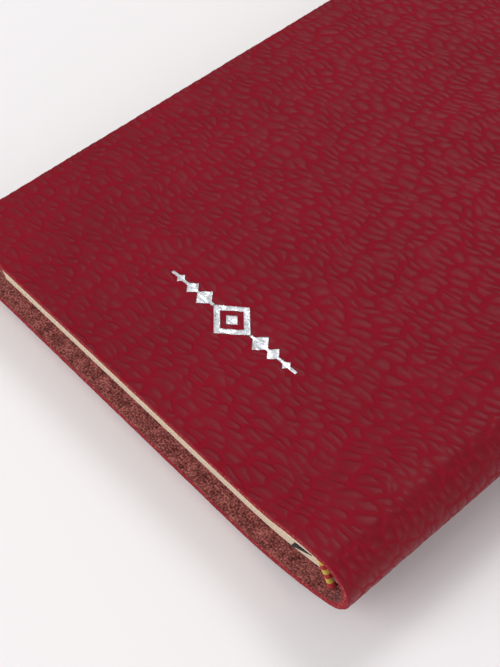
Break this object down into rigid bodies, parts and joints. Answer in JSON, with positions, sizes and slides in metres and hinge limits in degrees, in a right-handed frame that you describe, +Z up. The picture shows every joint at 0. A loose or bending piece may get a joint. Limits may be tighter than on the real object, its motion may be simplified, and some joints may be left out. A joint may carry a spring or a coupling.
{
  "type": "leather notebook cover",
  "caption": "Pocket notebook with a soft pebbled leather cover, lying on its front with the back up; both covers open on bends beside a rounded hollow back.",
  "frame": {"origin": "middle of the closed notebook's box, on the surface that it lies on", "axes": "+X from the fore edge to the spine, +Y from the tail of the pages to the head, +Z up, out of the back cover"},
  "size_m": [0.1164, 0.156, 0.0191],
  "materials": {
    "leather": "matt pebbled dark red leather, suede on the flesh side",
    "endpaper": "uncoated cream",
    "page_paper": "uncoated cream",
    "thread": "waxed linen thread",
    "lining_cloth": "open-weave cotton",
    "headband_cloth": "red and yellow striped cotton",
    "ribbon": "black satin ribbon",
    "silver_foil": "hot-stamped silver foil"
  },
  "bodies": {
    "block": {"spine_leather": "leather", "front_flyleaf": "endpaper", "section_1": "page_paper", "section_2": "page_paper", "section_3": "page_paper", "section_4": "page_paper", "section_5": "page_paper", "section_6": "page_paper", "section_7": "page_paper", "section_8": "page_paper", "section_9": "page_paper", "sewing_thread": "thread", "spine_lining": "lining_cloth", "tail_headband": "headband_cloth", "head_headband": "headband_cloth", "ribbon_marker": "ribbon"},
    "back_cover": {"back_cover_leather": "leather", "back_pastedown": "endpaper", "foil_ornament": "silver_foil"},
    "front_cover": {"front_cover_leather": "leather", "front_pastedown": "endpaper"},
    "back_flyleaf_leaf": {"back_flyleaf": "endpaper"},
    "last_section_leaves": {"last_section": "page_paper"}
  },
  "joints": [
    {"name": "back_cover_open", "type": "hinge", "parent": "block", "child": "back_cover", "pos_m": [0.05195, 0, 0.0193], "axis": [0, 1, 0], "range_deg": [0, 180]},
    {"name": "front_cover_open", "type": "hinge", "parent": "block", "child": "front_cover", "pos_m": [0.05276, 0, 0.00468], "axis": [0, -1, 0], "range_deg": [0, 180]},
    {"name": "back_flyleaf_turn", "type": "hinge", "parent": "block", "child": "back_flyleaf_leaf", "pos_m": [0.04766, 0, 0.01686], "axis": [0, 1, 0], "range_deg": [0, 126]},
    {"name": "last_section_turn", "type": "hinge", "parent": "block", "child": "last_section_leaves", "pos_m": [0.04766, 0, 0.01686], "axis": [0, 1, 0], "range_deg": [0, 90]}
  ],
  "couplings": [
    {"joint": "back_flyleaf_turn", "follows": "back_cover_open", "ratio": 0.7},
    {"joint": "last_section_turn", "follows": "back_cover_open", "ratio": 0.5}
  ]
}
